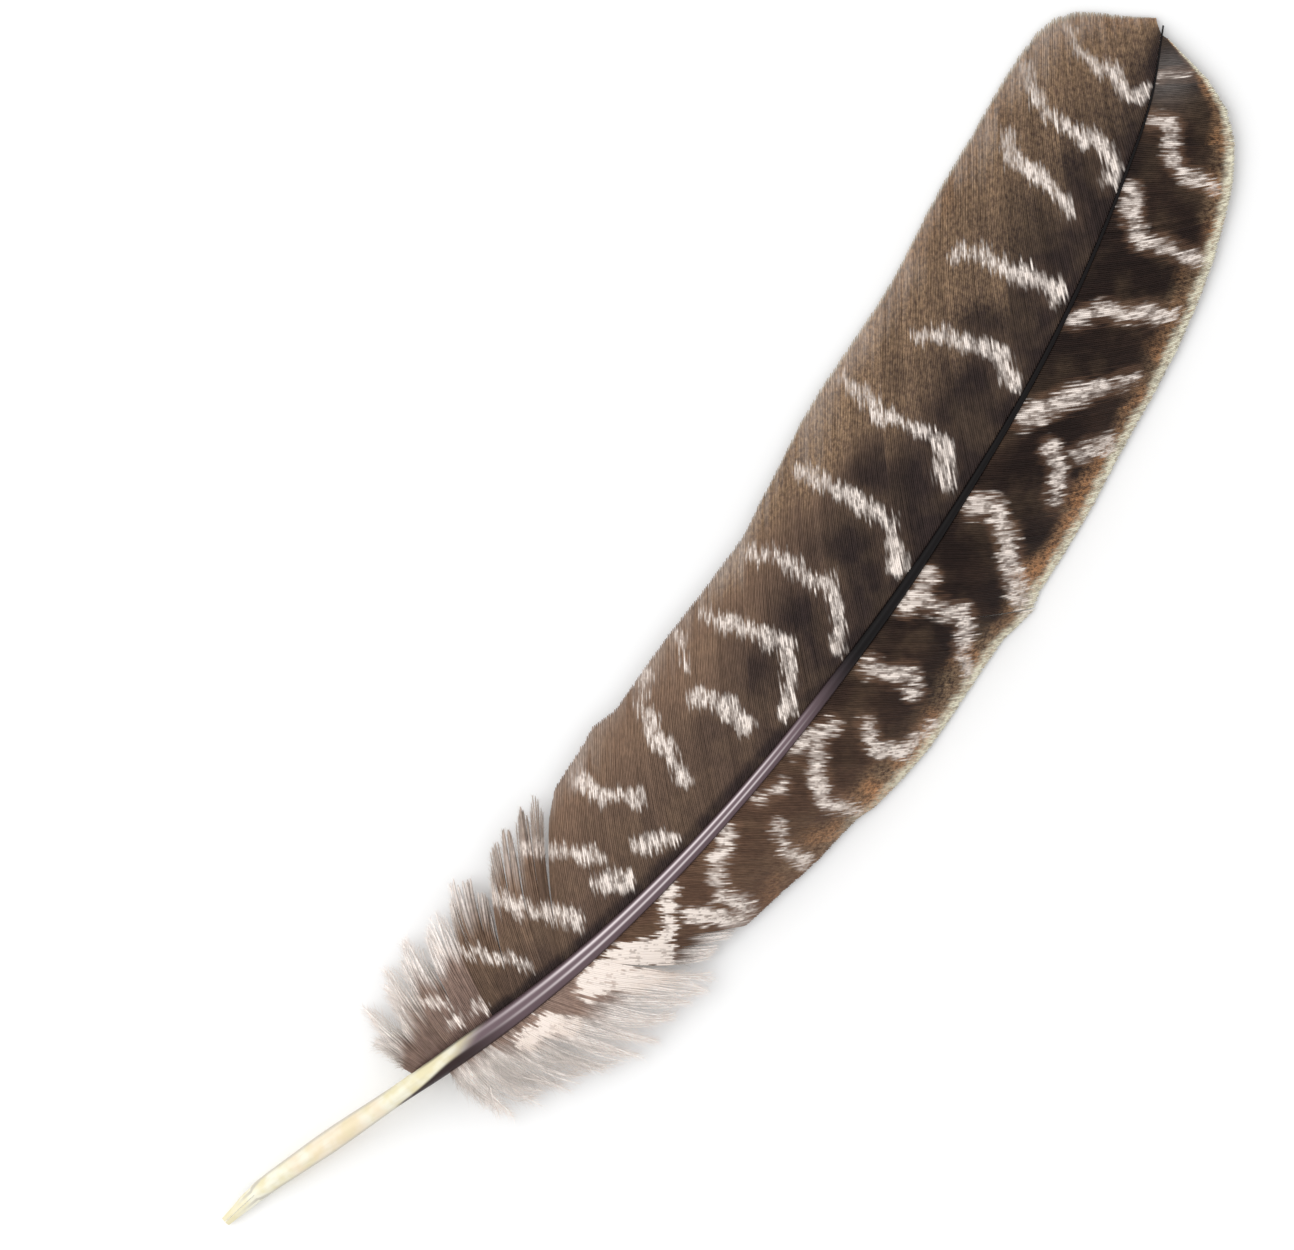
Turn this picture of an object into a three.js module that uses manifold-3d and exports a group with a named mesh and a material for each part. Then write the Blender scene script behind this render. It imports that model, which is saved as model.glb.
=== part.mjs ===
// A quill pen cut from one barred wing feather, lying on a table with the outer side of the feather up.
// Units are millimetres. While the pieces are made, X runs from the nib to the feather's tip, Y points to
// the wide vane and Z points up from the table. The last lines move the origin to the middle of the base.
import * as THREE from "three";
import Module from "manifold-3d";
import { mergeVertices } from "three/addons/utils/BufferGeometryUtils.js";

const wasm = await Module();
wasm.setup();

// ---------------------------------------------------------------- driving dimensions
const LENGTH = 329; // nib to tip, along X
const ARCH = 17; // how far the middle of the shaft stands above its two ends
const NIB_AXIS_Z = -0.4; // height of the barrel's axis at the nib, where only the upper wall is left
const TIP_AXIS_Z = 1.2; // height of the shaft's axis at the feather's tip
const GAP = 0.3; // clearance between neighbouring pieces

const BARREL_END = 48; // where the clear barrel meets the shaft
const BARREL_WALL = 0.5;
const SHELL_WALL = 0.42;
const PITH_START = 45.5; // the pith reaches back into the barrel and closes it
const PITH_END = 205;
const CAP_STATIONS = [19, 24.5, 29.5, 34.5, 39.5]; // dried pulp caps left inside the barrel
const CAP_DEPTH = 2.4;
const CAP_THICKNESS = 0.35;

const NIB_WIDTH = 2.1;
const SLIT_LENGTH = 9;
const SLIT_WIDTH = 0.15;
const END_CUT = 0.3; // the square cut across the nib
const SCOOP_START = 17; // where the underside cut leaves the barrel's full section
const SCOOP_CURVE_LENGTH = 8;
const SCOOP_CURVE_HEIGHT = 3.6;
const SCOOP_ROOF = 0.7; // height above the barrel's axis where the scoop's curve runs out

const WEB_ROOT_THICKNESS = 0.5;
const WEB_MARGIN_THICKNESS = 0.34;
const WEB_ATTACH = 0.3; // barbs leave the shaft this share of its half height above its axis
const BARB_BOW = 0.07; // barbs bend towards the feather's tip by this share of their length
const DROOP_POWER = 1.7; // the web leaves the shaft level and droops towards its margin

// The shaft's axis seen from above, as [x, y].
const SHAFT_LINE = [
  [0, -0.2], [10, -1.9], [20, -4.8], [40, -11], [60, -17.2], [80, -22.8], [100, -26.9], [125, -30.1],
  [150, -31.6], [175, -31.8], [200, -31], [225, -28.9], [250, -25.7], [275, -20.7], [300, -13.8],
  [315, -8.6], [LENGTH, -1.2],
];
// The shaft's full width at each x.
const SHAFT_WIDTH = [
  [0, 3.4], [10, 4], [20, 4.6], [27, 5], [33, 4.9], [40, 4.5], [46, 4.3], [55, 4.8], [63, 5.1], [75, 4.9],
  [90, 4.4], [105, 3.9], [120, 3.5], [140, 3.1], [160, 2.9], [180, 2.75], [200, 2.4], [220, 1.9],
  [240, 1.55], [260, 1.2], [280, 0.95], [300, 0.75], [318, 0.55], [LENGTH, 0.4],
];

// The webs and tufts that each vane has parted into, from the base to the tip: the stretch of shaft that
// their barbs grow from, and the line through the barbs' ends, as [x, y].
const WIDE_VANE = {
  wide_down_1: { from: 50.5, to: 55, margin: [[50.8, -6.5], [52.2, 0.5], [54.9, 6], [58, 1.5]] },
  wide_down_2: { from: 55, to: 60, margin: [[58.4, 1.5], [61, 3.5], [65.6, 9], [67.5, 4.5]] },
  wide_down_3: { from: 60, to: 65, margin: [[67.9, 4.5], [72, 8.5], [74.3, 3]] },
  wide_down_4: { from: 65, to: 71, margin: [[74.9, 2.6], [78.4, 5.2], [80.2, 7.5], [83, 4]] },
  wide_tuft_1: { from: 71, to: 77, margin: [[83.4, 4], [87, 5.3], [89.4, 9], [91, 5], [91.2, -1.5]] },
  wide_tuft_2: { from: 77, to: 85, margin: [[94.6, 0.6], [100, 4.3], [104.8, 6.2], [105.6, 3.4]] },
  wide_tuft_3: { from: 85, to: 88, margin: [[106.2, 2.6], [111.7, 6.7], [110.5, 2.5]] },
  wide_tuft_4: { from: 88, to: 89.6, margin: [[111, 2], [116.2, 5.3], [112, -0.5]] },
  wide_web_01: { from: 89.6, to: 104, margin: [[112.4, -1.6], [118, 1.4], [126, 2.2], [133.5, 3]] },
  wide_web_02: { from: 104, to: 120, margin: [[133.5, 3], [140, 1.4], [150, 2]] },
  wide_web_03: { from: 120, to: 150, margin: [[150, 2], [160, 2.4], [172, 2.3], [187, 2.8]] },
  wide_web_04: { from: 150, to: 172, margin: [[187, 2.8], [193, 4.2], [203, 6], [213, 8]] },
  wide_web_05: { from: 172, to: 200, margin: [[213, 8], [222, 9.2], [235, 10], [245, 10.7]] },
  wide_web_06: { from: 200, to: 225, margin: [[245, 10.7], [255, 12.2], [265, 14.2], [273, 15.6]] },
  wide_web_07: { from: 225, to: 248, margin: [[273, 15.6], [285, 17], [297, 18.8]] },
  wide_web_08: { from: 248, to: 275, margin: [[297, 18.8], [304, 19.5], [311, 19.6], [316, 18.5]] },
  wide_web_09: { from: 275, to: 300, margin: [[316, 18.5], [320, 15.6], [323, 11.3]] },
  wide_web_10: { from: 300, to: 327, margin: [[323, 11.3], [326, 6.2], [329.4, 1.2]] },
};
const NARROW_VANE = {
  narrow_down_1: { from: 57, to: 61, margin: [[54.6, -28.5], [55.2, -33], [59, -37]] },
  narrow_down_2: { from: 61, to: 67, margin: [[59.5, -37.4], [65, -39.6], [70, -41]] },
  narrow_down_3: { from: 67, to: 74, margin: [[70.5, -41.2], [76, -45], [80.3, -47.2]] },
  narrow_down_4: { from: 74, to: 81, margin: [[80.8, -47], [86, -49], [91.2, -50.3]] },
  narrow_down_5: { from: 81, to: 88, margin: [[91.7, -50], [97, -50.5], [101, -51.5]] },
  narrow_down_6: { from: 88, to: 95, margin: [[101.5, -51], [108.8, -53.3], [108, -49.5]] },
  narrow_web_01: { from: 95, to: 103, margin: [[108.8, -48], [114, -48.6], [119.5, -49.4]] },
  narrow_web_02: { from: 103, to: 128, margin: [[120.3, -49.8], [130, -51.5], [140, -53.3], [147, -54]] },
  narrow_web_03: { from: 128, to: 138, margin: [[147, -54], [153, -54.6], [157.2, -56]] },
  narrow_web_04: { from: 138, to: 165, margin: [[157.2, -56], [166, -57.1], [175, -57.6], [185, -57]] },
  narrow_web_05: { from: 165, to: 191, margin: [[185, -57], [195, -56.2], [203, -55.8], [212.3, -57]] },
  narrow_web_06: { from: 191, to: 215, margin: [[212.8, -56.6], [216, -55.6], [226, -54.7], [238, -53.2]] },
  narrow_web_07: { from: 215, to: 240, margin: [[238, -53.2], [250, -51], [264, -48.9]] },
  narrow_web_08: { from: 240, to: 262, margin: [[264, -48.9], [275, -46.9], [286, -44.2]] },
  narrow_web_09: { from: 262, to: 283, margin: [[286, -44.2], [296, -41], [305, -37.2]] },
  narrow_web_10: { from: 283, to: 305, margin: [[305, -37.2], [312, -33.8], [318.5, -29]] },
  narrow_web_11: { from: 305, to: 327, margin: [[318.5, -29], [323, -23.5], [325.7, -16], [327.2, -4]] },
};

// ---------------------------------------------------------------- materials
const finish = (color, roughness) => new THREE.MeshStandardMaterial({ color, roughness, metalness: 0 });
const IVORY_HORN = finish(0xe9dcb4, 0.35);
const DARK_HORN = finish(0x3a2f30, 0.3);
const PITH = finish(0xf2ece0, 0.9);
const MEMBRANE = finish(0xe6c9a8, 0.6);
const WIDE_BARBS = finish(0x6b594d, 0.75);
const NARROW_BARBS = finish(0x55443d, 0.75);
const DOWN = finish(0xb5a79d, 0.9);

// ---------------------------------------------------------------- curves
// A smooth value at x through a table of [x, value] rows.
function smooth(table, x) {
  const last = table.length - 1;
  const i = Math.min(Math.max(table.findIndex((row) => row[0] > x), 1), last);
  const k = x >= table[last][0] ? last : i;
  const slope = (j) => {
    const a = table[Math.max(j - 1, 0)];
    const b = table[Math.min(j + 1, last)];
    return (b[1] - a[1]) / (b[0] - a[0]);
  };
  const [x0, y0] = table[k - 1];
  const [x1, y1] = table[k];
  const span = x1 - x0;
  const t = THREE.MathUtils.clamp((x - x0) / span, 0, 1);
  const blend = t * t * (3 - 2 * t);
  const lean0 = t * (1 - t) * (1 - t) * span * slope(k - 1);
  const lean1 = t * t * (t - 1) * span * slope(k);
  return y0 + (y1 - y0) * blend + lean0 + lean1;
}

function axisHeight(x) {
  const t = x / LENGTH;
  return NIB_AXIS_Z + (TIP_AXIS_Z - NIB_AXIS_Z) * t + 4 * ARCH * t * (1 - t);
}

function axisPoint(x) {
  return new THREE.Vector3(x, smooth(SHAFT_LINE, x), axisHeight(x));
}

// The shaft's own axes at x: along it, across it towards the wide vane, and up from the table.
function axisFrame(x) {
  const along = axisPoint(x + 0.5).sub(axisPoint(x - 0.5)).normalize();
  const across = new THREE.Vector3(0, 0, 1).cross(along).normalize();
  const up = along.clone().cross(across);
  return { along, across, up };
}

// The shaft is round at the barrel and deeper than wide further on.
function halfSizes(x) {
  const halfWidth = smooth(SHAFT_WIDTH, x) / 2;
  const deepening = THREE.MathUtils.smoothstep(x, BARREL_END, 120);
  return { halfWidth, halfHeight: halfWidth * (1 + 0.15 * deepening) };
}

// ---------------------------------------------------------------- solids
function geometryFrom(points, triangles) {
  const positions = points.flatMap((p) => [p.x, p.y, p.z]);
  let volume = 0;
  const cross = new THREE.Vector3();
  for (const [a, b, c] of triangles) volume += points[a].dot(cross.crossVectors(points[b], points[c]));
  const index = triangles.flatMap(([a, b, c]) => (volume > 0 ? [a, b, c] : [a, c, b]));
  const geometry = new THREE.BufferGeometry();
  geometry.setAttribute("position", new THREE.Float32BufferAttribute(positions, 3));
  return geometry.setIndex(index);
}

function toSolid(geometry) {
  const bare = geometry.clone();
  bare.deleteAttribute("normal");
  bare.deleteAttribute("uv");
  const merged = mergeVertices(bare);
  const vertProperties = merged.attributes.position.array;
  const triVerts = new Uint32Array(merged.index.array);
  return new wasm.Manifold(new wasm.Mesh({ numProp: 3, vertProperties, triVerts }));
}

function fromSolid(solid) {
  const mesh = solid.getMesh();
  const geometry = new THREE.BufferGeometry();
  geometry.setAttribute("position", new THREE.Float32BufferAttribute(mesh.vertProperties, 3));
  return geometry.setIndex(Array.from(mesh.triVerts));
}

// A closed skin over a row of rings that hold the same number of points.
function loft(rings) {
  const sides = rings[0].length;
  const points = rings.flat();
  const triangles = [];
  for (let r = 0; r + 1 < rings.length; r++) {
    for (let s = 0; s < sides; s++) {
      const [a, b] = [r * sides + s, r * sides + ((s + 1) % sides)];
      triangles.push([a, b, b + sides], [a, b + sides, a + sides]);
    }
  }
  for (const end of [0, rings.length - 1]) {
    const centre = rings[end].reduce((sum, p) => sum.add(p), new THREE.Vector3()).divideScalar(sides);
    const hub = points.push(centre) - 1;
    for (let s = 0; s < sides; s++) {
      const [a, b] = [end * sides + s, end * sides + ((s + 1) % sides)];
      triangles.push(end === 0 ? [hub, b, a] : [hub, a, b]);
    }
  }
  return geometryFrom(points, triangles);
}

// One section of the shaft at x, shrunk by inset. The groove along the underside has its own depth.
function shaftRing(x, inset, grooveDepth, sides) {
  const centre = axisPoint(x);
  const { across, up } = axisFrame(x);
  const { halfWidth, halfHeight } = halfSizes(x);
  return Array.from({ length: sides }, (_, s) => {
    const angle = (2 * Math.PI * s) / sides - Math.PI / 2;
    const fromGroove = Math.abs(Math.sin((angle + Math.PI / 2) / 2));
    const groove = grooveDepth * halfHeight * Math.exp(-((fromGroove / 0.22) ** 2));
    const sideways = Math.cos(angle) * (halfWidth - inset);
    const upwards = Math.sin(angle) * (halfHeight - inset) + groove;
    return centre.clone().addScaledVector(across, sideways).addScaledVector(up, upwards);
  });
}

// Stations from one x to another, in even steps close to the pitch.
function stations(from, to, pitch) {
  const steps = Math.max(1, Math.round((to - from) / pitch));
  return Array.from({ length: steps + 1 }, (_, i) => from + ((to - from) * i) / steps);
}

function shaftSolid(from, to, pitch, inset, grooveDepth, sides) {
  return toSolid(loft(stations(from, to, pitch).map((x) => shaftRing(x, inset, grooveDepth(x), sides))));
}

// The underside groove starts after the barrel and fades out towards the tip.
function grooveAt(x) {
  const opening = THREE.MathUtils.smoothstep(x, BARREL_END + 4, 80);
  return 0.45 * opening * (1 - THREE.MathUtils.smoothstep(x, 230, 320));
}

// ---------------------------------------------------------------- barrel and nib
// A slab that fills the given outline, drawn in the plane of the barrel's length and one other direction.
function slab(outline, thickness, stand) {
  const shape = new THREE.Shape(outline.map(([a, b]) => new THREE.Vector2(a, b)));
  const geometry = new THREE.ExtrudeGeometry(shape, { depth: thickness, bevelEnabled: false });
  geometry.translate(0, 0, -thickness / 2);
  return toSolid(geometry.applyMatrix4(stand));
}

// The frame of the nib: X along the barrel from its end, Y across, Z up.
function nibFrame() {
  const { along, across, up } = axisFrame(0.5);
  return new THREE.Matrix4().makeBasis(along, across, up).setPosition(axisPoint(0));
}

// What the knife takes away: the long scoop below, the two shoulders beside the nib, the slit and the end.
function nibCuts() {
  const nib = nibFrame();
  const sideView = nib.clone().multiply(new THREE.Matrix4().makeRotationX(Math.PI / 2));
  const before = -2; // a place clear of the barrel's end
  const beside = 6; // a place clear of the barrel's side
  const reach = 2 * beside;

  const scoopPoint = (t) => [
    SCOOP_START - SCOOP_CURVE_LENGTH * Math.sin(t),
    SCOOP_ROOF - SCOOP_CURVE_HEIGHT * Math.cos(t),
  ];
  const scoopCurve = stations(0, Math.PI / 2, Math.PI / 16).map(scoopPoint);
  const scoopSide = [[SCOOP_START, -reach], ...scoopCurve, [before, SCOOP_ROOF + 0.3], [before, -reach]];

  const halfNib = NIB_WIDTH / 2;
  const shoulderLine = [
    [before, halfNib], [0.2, halfNib], [3, halfNib + 0.22], [6, halfNib + 0.62], [9, 2.2],
  ];
  const shoulderPlan = [...shoulderLine, [9, beside], [before, beside]];
  const shoulder = (side) => slab(shoulderPlan.map(([x, y]) => [x, y * side]), reach, nib);

  const halfSlit = SLIT_WIDTH / 2;
  const slitPlan = [
    [before, -halfSlit], [SLIT_LENGTH, -halfSlit], [SLIT_LENGTH, halfSlit], [before, halfSlit],
  ];
  const endPlan = [[before, -beside], [END_CUT, -beside], [END_CUT, beside], [before, beside]];
  const seenFromAbove = [shoulder(1), shoulder(-1), slab(slitPlan, reach, nib), slab(endPlan, reach, nib)];
  return [slab(scoopSide, reach, sideView), ...seenFromAbove];
}

function barrel() {
  const noGroove = () => 0;
  const outside = shaftSolid(0, BARREL_END - GAP / 2, 3, 0, noGroove, 24);
  const inside = shaftSolid(-2, BARREL_END + 2, 4, BARREL_WALL, noGroove, 24);
  return fromSolid(nibCuts().reduce((solid, cut) => solid.subtract(cut), outside.subtract(inside)));
}

// A thin cup of dried pulp, opening towards the nib.
function pulpCap(x) {
  const radius = halfSizes(x).halfWidth - BARREL_WALL - GAP;
  const wall = (share, lift) => new THREE.Vector2(radius * share, CAP_DEPTH * (1 - share ** 2) + lift);
  const shares = [0, 0.35, 0.7, 1];
  const profile = [
    ...shares.map((share) => wall(share, 0)),
    ...shares.toReversed().map((share) => wall(share, CAP_THICKNESS)),
  ];
  const geometry = new THREE.LatheGeometry(profile, 16);
  const { along, across, up } = axisFrame(x);
  const stand = new THREE.Matrix4().makeBasis(across, along, up.clone().negate()).setPosition(axisPoint(x));
  return fromSolid(toSolid(geometry.applyMatrix4(stand)));
}

// ---------------------------------------------------------------- shaft
function shell() {
  const outside = shaftSolid(BARREL_END + GAP / 2, LENGTH, 8, 0, grooveAt, 20);
  const inside = shaftSolid(BARREL_END - 2, PITH_END + 2, 10, SHELL_WALL, grooveAt, 20);
  return fromSolid(outside.subtract(inside));
}

function pith() {
  return fromSolid(shaftSolid(PITH_START, PITH_END, 12, BARREL_WALL + GAP, grooveAt, 12));
}

// ---------------------------------------------------------------- vanes
// Height of a vane's margin above the table. Each margin touches the table at one place.
function marginHeight(x, side) {
  const [touch, period, lift] = side > 0 ? [290, 320, 3] : [212, 300, 2.5];
  return WEB_MARGIN_THICKNESS / 2 + lift * Math.sin((Math.PI * (x - touch)) / period) ** 2;
}

// The point at share t, by length, of the line through a web's barb ends.
function marginPoint(margin, t) {
  const corners = margin.map(([x, y]) => new THREE.Vector2(x, y));
  const lengths = corners.slice(1).map((p, i) => p.distanceTo(corners[i]));
  let rest = t * lengths.reduce((a, b) => a + b, 0);
  let i = 0;
  while (i < lengths.length - 1 && rest > lengths[i]) rest -= lengths[i++];
  return corners[i].clone().lerp(corners[i + 1], rest / lengths[i]);
}

function marginLength(margin) {
  return margin.slice(1).reduce((sum, [x, y], i) => sum + Math.hypot(x - margin[i][0], y - margin[i][1]), 0);
}

// A barb of a web, from the shaft to the margin, as points of the web's middle surface.
function barb(rootX, end, side, rows) {
  const { across } = axisFrame(rootX);
  const { halfWidth, halfHeight } = halfSizes(rootX);
  const root = axisPoint(rootX).addScaledVector(across, side * (halfWidth + GAP));
  root.z += WEB_ATTACH * halfHeight;
  const chord = new THREE.Vector2(end.x - root.x, end.y - root.y);
  const bow = new THREE.Vector2(-chord.y, chord.x).multiplyScalar(side * 2 * BARB_BOW);
  const endZ = marginHeight(end.x, side);
  return Array.from({ length: rows + 1 }, (_, i) => {
    const f = i / rows;
    return new THREE.Vector3(
      root.x + chord.x * f + bow.x * f * (1 - f),
      root.y + chord.y * f + bow.y * f * (1 - f),
      root.z + (endZ - root.z) * f ** DROOP_POWER,
    );
  });
}

// The closed sheet that a web's barbs fill, split from its neighbours by the gap.
function web({ from, to, margin }, side) {
  const rootTrim = GAP / 2 / (to - from);
  const endTrim = GAP / 2 / marginLength(margin);
  const columns = Math.max(4, Math.round(marginLength(margin) / 4.5));
  const rows = 7;
  const barbs = Array.from({ length: columns + 1 }, (_, j) => {
    const t = j / columns;
    const rootX = from + (to - from) * THREE.MathUtils.lerp(rootTrim, 1 - rootTrim, t);
    const end = marginPoint(margin, THREE.MathUtils.lerp(endTrim, 1 - endTrim, t));
    return barb(rootX, end, side, rows);
  });
  const points = [];
  for (const half of [0.5, -0.5]) {
    for (const line of barbs) {
      line.forEach((p, i) => {
        const thickness = THREE.MathUtils.lerp(WEB_ROOT_THICKNESS, WEB_MARGIN_THICKNESS, i / rows);
        points.push(new THREE.Vector3(p.x, p.y, p.z + half * thickness));
      });
    }
  }
  return geometryFrom(points, sheetTriangles(columns, rows));
}

// Triangles of a closed sheet: an upper grid of points, then the same grid below it.
function sheetTriangles(columns, rows) {
  const perColumn = rows + 1;
  const below = (columns + 1) * perColumn;
  const at = (j, i) => j * perColumn + i;
  const triangles = [];
  const quad = (a, b, c, d) => triangles.push([a, b, c], [a, c, d]);
  for (let j = 0; j < columns; j++) {
    for (let i = 0; i < rows; i++) {
      const [a, b, c, d] = [at(j, i), at(j + 1, i), at(j + 1, i + 1), at(j, i + 1)];
      quad(a, b, c, d);
      quad(below + d, below + c, below + b, below + a);
    }
    for (const [a, b] of [[at(j + 1, 0), at(j, 0)], [at(j, rows), at(j + 1, rows)]]) {
      quad(a, b, below + b, below + a);
    }
  }
  for (let i = 0; i < rows; i++) {
    for (const [a, b] of [[at(0, i), at(0, i + 1)], [at(columns, i + 1), at(columns, i)]]) {
      quad(a, b, below + b, below + a);
    }
  }
  return triangles;
}

// ---------------------------------------------------------------- assembly
const quill = new THREE.Group();

function add(name, geometry, material) {
  const mesh = new THREE.Mesh(geometry, material);
  mesh.name = name;
  quill.add(mesh);
}

add("calamus_barrel", barrel(), IVORY_HORN);
CAP_STATIONS.forEach((x, i) => add(`pulp_cap_${i + 1}`, pulpCap(x), MEMBRANE));
add("rachis_shell", shell(), DARK_HORN);
add("rachis_pith", pith(), PITH);
for (const [vane, side, barbColour] of [[WIDE_VANE, 1, WIDE_BARBS], [NARROW_VANE, -1, NARROW_BARBS]]) {
  for (const [name, layout] of Object.entries(vane)) {
    add(name, web(layout, side), name.includes("down") ? DOWN : barbColour);
  }
}

const box = new THREE.Box3().setFromObject(quill);
const middle = box.getCenter(new THREE.Vector3());
quill.position.set(-middle.x, -middle.y, -box.min.z);

export default quill;
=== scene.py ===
"""A quill pen cut from one barred wing feather, lying outer side up on a pale table.

Lengths in this script are millimetres in the feather's own frame: X from the nib to the feather's tip,
Y towards the wide vane, Z up from the table. to_row() turns them into the CAD model's frame, in metres.
"""
import math

import bmesh
import bpy
import numpy as np
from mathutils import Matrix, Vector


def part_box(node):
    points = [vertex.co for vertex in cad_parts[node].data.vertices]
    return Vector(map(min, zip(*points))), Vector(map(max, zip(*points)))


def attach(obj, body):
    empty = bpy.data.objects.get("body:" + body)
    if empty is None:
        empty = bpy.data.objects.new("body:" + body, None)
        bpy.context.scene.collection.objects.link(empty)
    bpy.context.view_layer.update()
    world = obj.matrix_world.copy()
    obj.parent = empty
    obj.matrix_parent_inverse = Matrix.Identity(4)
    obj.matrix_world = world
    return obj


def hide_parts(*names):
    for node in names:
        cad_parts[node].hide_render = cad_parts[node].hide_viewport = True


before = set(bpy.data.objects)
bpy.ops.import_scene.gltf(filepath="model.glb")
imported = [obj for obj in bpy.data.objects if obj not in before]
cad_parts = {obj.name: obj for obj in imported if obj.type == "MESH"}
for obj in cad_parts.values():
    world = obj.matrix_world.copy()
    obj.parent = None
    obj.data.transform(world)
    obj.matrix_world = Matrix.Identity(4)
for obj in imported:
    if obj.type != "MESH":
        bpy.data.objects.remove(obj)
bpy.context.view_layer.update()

# -------- the feather's shape
LENGTH = 329.0
ARCH = 17.0
NIB_AXIS_Z = -0.4
TIP_AXIS_Z = 1.2
GAP = 0.3
BARREL_END = 48.0
BARREL_WALL = 0.5
NIB_WIDTH = 2.1
SLIT_LENGTH = 9.0
SLIT_WIDTH = 0.15
END_CUT = 0.3
SCOOP_START = 17.0
SCOOP_CURVE_LENGTH = 8.0
SCOOP_CURVE_HEIGHT = 3.6
SCOOP_ROOF = 0.7
SCOOP_SLOPE = 0.027
WEB_ATTACH = 0.3
BARB_BOW = 0.07
DROOP_POWER = 1.7
MARGIN_THICKNESS = 0.34
BARB_PITCH = 0.38
CREST_RANGE = (120, 220)  # the stretch of shaft that holds its highest point
CAP_STATIONS = (19, 24.5, 29.5, 34.5, 39.5)  # the open ends of the dried pulp caps in the barrel
CAP_MIDDLE = 1.0  # from a cap's open end to about its middle

# Stretches of the shaft over which its colour changes.
WEDGE_START = (44, 47)  # the dark side of the shaft starts as a point here
WEDGE_WIDENS = (44, 60)
IVORY_END = (66, 55)  # ivory up to 55, none past 66
HIGHLIGHT_LINES_START = (56, 84)
HIGHLIGHT_LINES_END = (140, 172)
BLACK_START = (158, 182)
PALE_UNDERSIDE_END = (210, 300)

SHAFT_LINE = [
    (0, -0.2), (10, -1.9), (20, -4.8), (40, -11), (60, -17.2), (80, -22.8), (100, -26.9), (125, -30.1),
    (150, -31.6), (175, -31.8), (200, -31), (225, -28.9), (250, -25.7), (275, -20.7), (300, -13.8),
    (315, -8.6), (LENGTH, -1.2),
]
SHAFT_WIDTH = [
    (0, 3.4), (10, 4), (20, 4.6), (27, 5), (33, 4.9), (40, 4.5), (46, 4.3), (55, 4.8), (63, 5.1), (75, 4.9),
    (90, 4.4), (105, 3.9), (120, 3.5), (140, 3.1), (160, 2.9), (180, 2.75), (200, 2.4), (220, 1.9),
    (240, 1.55), (260, 1.2), (280, 0.95), (300, 0.75), (318, 0.55), (LENGTH, 0.4),
]

# Half the nib's width at distances from its end. Behind SHOULDER_END the barrel keeps its full width.
SHOULDER_END = 9.0
SHOULDER_LINE = [
    (0, NIB_WIDTH / 2), (0.2, NIB_WIDTH / 2), (3, NIB_WIDTH / 2 + 0.22), (6, NIB_WIDTH / 2 + 0.62),
    (SHOULDER_END, 2.2),
]

# Each web or tuft: the stretch of shaft that its barbs grow from, the line through their ends, how loose the
# barbs' ends are, the share of a barb's length at which they part, and how much down they carry from there.
WIDE_VANE = {
    "wide_down_1": (50.5, 55, [(50.8, -6.5), (52.2, 0.5), (54.9, 6), (58, 1.5)], 1.0, 0.45, 0.9),
    "wide_down_2": (55, 60, [(58.4, 1.5), (61, 3.5), (65.6, 9), (67.5, 4.5)], 0.9, 0.55, 0.75),
    "wide_down_3": (60, 65, [(67.9, 4.5), (72, 8.5), (74.3, 3)], 0.8, 0.66, 0.6),
    "wide_down_4": (65, 71, [(74.9, 2.6), (78.4, 5.2), (80.2, 7.5), (83, 4)], 0.7, 0.72, 0.5),
    "wide_tuft_1": (71, 77, [(83.4, 4), (87, 5.3), (89.4, 9), (91, 5), (91.2, -1.5)], 0.55, 0.82, 0.3),
    "wide_tuft_2": (77, 85, [(94.6, 0.6), (100, 4.3), (104.8, 6.2), (105.6, 3.4)], 0.5, 0.84, 0.3),
    "wide_tuft_3": (85, 88, [(106.2, 2.6), (111.7, 6.7), (110.5, 2.5)], 0.5, 0.8, 0.3),
    "wide_tuft_4": (88, 89.6, [(111, 2), (116.2, 5.3), (112, -0.5)], 0.5, 0.78, 0.3),
    "wide_web_01": (89.6, 104, [(112.4, -1.6), (118, 1.4), (126, 2.2), (133.5, 3)], 0.08, 0.97, 0.0),
    "wide_web_02": (104, 120, [(133.5, 3), (140, 1.4), (150, 2)], 0.03, 0.97, 0.0),
    "wide_web_03": (120, 150, [(150, 2), (160, 2.4), (172, 2.3), (187, 2.8)], 0.03, 0.97, 0.0),
    "wide_web_04": (150, 172, [(187, 2.8), (193, 4.2), (203, 6), (213, 8)], 0.03, 0.97, 0.0),
    "wide_web_05": (172, 200, [(213, 8), (222, 9.2), (235, 10), (245, 10.7)], 0.03, 0.97, 0.0),
    "wide_web_06": (200, 225, [(245, 10.7), (255, 12.2), (265, 14.2), (273, 15.6)], 0.03, 0.97, 0.0),
    "wide_web_07": (225, 248, [(273, 15.6), (285, 17), (297, 18.8)], 0.03, 0.97, 0.0),
    "wide_web_08": (248, 275, [(297, 18.8), (304, 19.5), (311, 19.6), (316, 18.5)], 0.03, 0.97, 0.0),
    "wide_web_09": (275, 300, [(316, 18.5), (320, 15.6), (323, 11.3)], 0.04, 0.97, 0.0),
    "wide_web_10": (300, 327, [(323, 11.3), (326, 6.2), (329.4, 1.2)], 0.06, 0.97, 0.0),
}
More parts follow.
